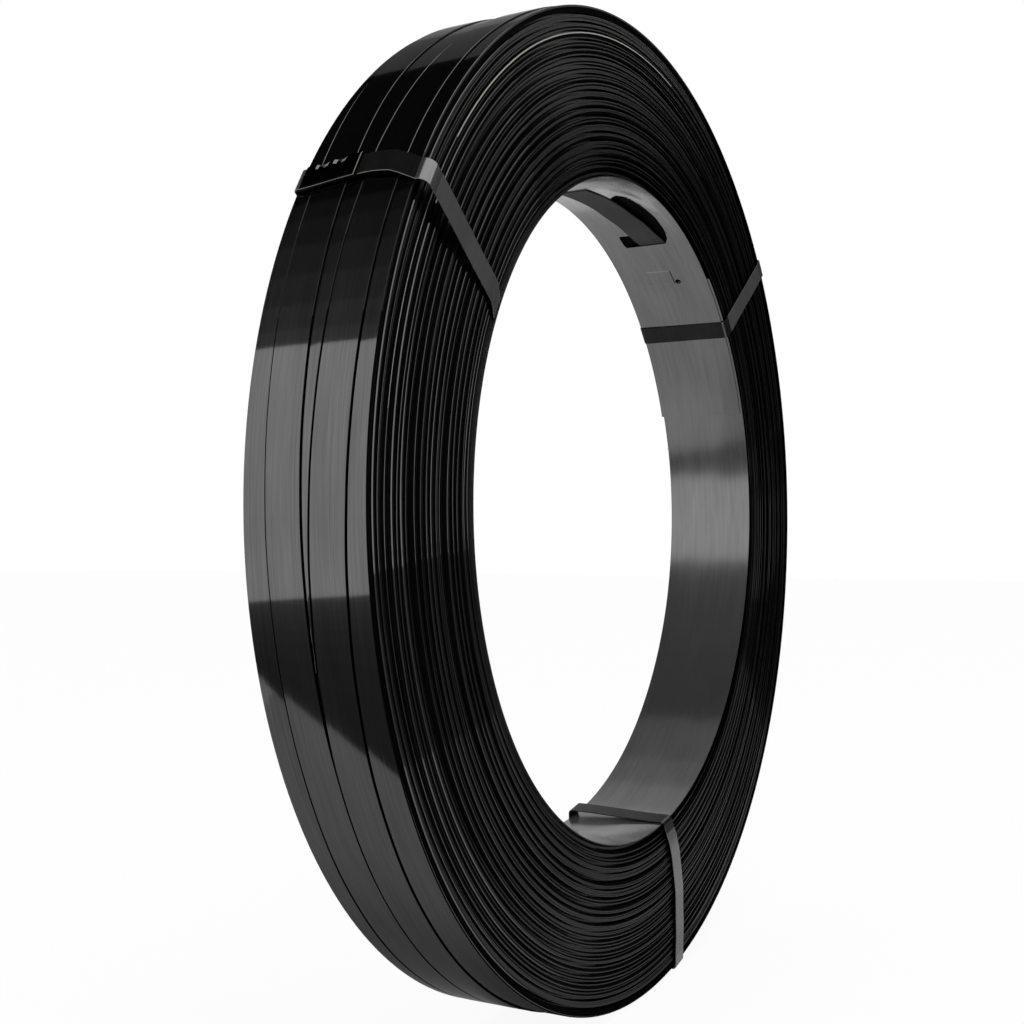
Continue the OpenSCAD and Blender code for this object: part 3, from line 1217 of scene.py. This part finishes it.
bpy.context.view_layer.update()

# %% Cards above and on the left
above_z = 0.72
box_card("card_above", (-0.44, -0.1), (0.06, 0.9), above_z, 0.015)
right_steps = [(0.06, 0.21), (0.36, 0.33), (0.62, 0.52), (1.1, 0.75)]
right_ends = [place for place, shade in right_steps[1:]] + [2.4]
for step, (place, shade) in enumerate(right_steps):
    box_card("card_right_%d" % step, (place, -0.5), (right_ends[step], 1.6), above_z, shade)
left_steps = [(0.18, 0.22), (0.205, 0.17), (0.25, 0.125), (0.32, 0.09), (0.42, 0.06), (0.56, 0.04)]
left_ends = [height for height, shade in left_steps[1:]] + [above_z]
for step, (height, shade) in enumerate(left_steps):
    upright_card("card_left_%d" % step, (-0.44, -0.05), (-0.44, 0.9), height, left_ends[step], shade)
print("cards above and on the left", 1 + len(right_steps) + len(left_steps))

# %% Dark patch on the floor
low_z = floor_z + 0.0001
patch_z = low_z + 0.0001
patch_edges = [((-1.33, 0.2), (-0.85, 0.74)), ((-0.85, 0.14), (-0.72, 0.55)),
               ((-0.36, 0.08), (-0.57, 0.33))]
patch_shades = [0.15, 0.13, 0.11, 0.095, 0.08, 0.07, 0.06, 0.055]
cards_a_span = 4


def patch_edge(part):
    """Both ends of a line across the dark patch, some way from its far edge to its near one."""
    span = min(int(part), len(patch_edges) - 2)
    ends = []
    for (ax, ay), (bx, by) in zip(patch_edges[span], patch_edges[span + 1]):
        ends.append((ax + (bx - ax) * (part - span), ay + (by - ay) * (part - span)))
    return ends


for step, shade in enumerate(patch_shades):
    front, back = patch_edge(step / cards_a_span)
    next_front, next_back = patch_edge((step + 1) / cards_a_span)
    level_card("card_low_%d" % step, [front, next_front, next_back, back], patch_z, shade)
print("cards in the dark patch", len(patch_shades))

# %% Cards on the floor and in front
box_card("card_near", (-0.62, -0.2), (0.8, 1.4), low_z, 0.63)
foot_outline = [(-0.52, -0.02), (0.1, -0.02), (0.1, 0.06), (-0.52, 0.28)]
level_card("card_foot", foot_outline, low_z + 0.00005, 0.43)
box_card("card_low_front", (-1.2, -1.5), (1.6, -0.2), low_z, 0.17)
box_card("card_far_front", (-1.6, -6.0), (1.6, -1.5), low_z, 0.6)
upright_card("card_front", (-0.2, -1.6), (1.2, -1.3), floor_z, 0.76, 0.03)
upright_card("card_front_right", (1.2, -1.3), (1.8, 0.7), floor_z, 0.76, 0.03)
upright_card("card_back_right", (2.2, 0.7), (1.2, 2.6), floor_z, 0.9, 0.62)

# %% [markdown]
# One large soft lamp above and to the left gives the coil a plain light and its shadow a direction. Two
# or three lamps would be usual, but here the world and the cards do the rest. The lamp is hidden from
# reflections.

# %% Lamp
lamp_place = Vector((-0.8, -0.9, 2.2))
lamp_data = bpy.data.lights.new("lamp_above", "AREA")
lamp_data.shape = "SQUARE"
lamp_data.size = 1.5
lamp_data.energy = 22.0
lamp = bpy.data.objects.new("lamp_above", lamp_data)
lamp.visible_glossy = False
aim(lamp, lamp_place, -lamp_place)
print("lamp at", lamp_place[:])
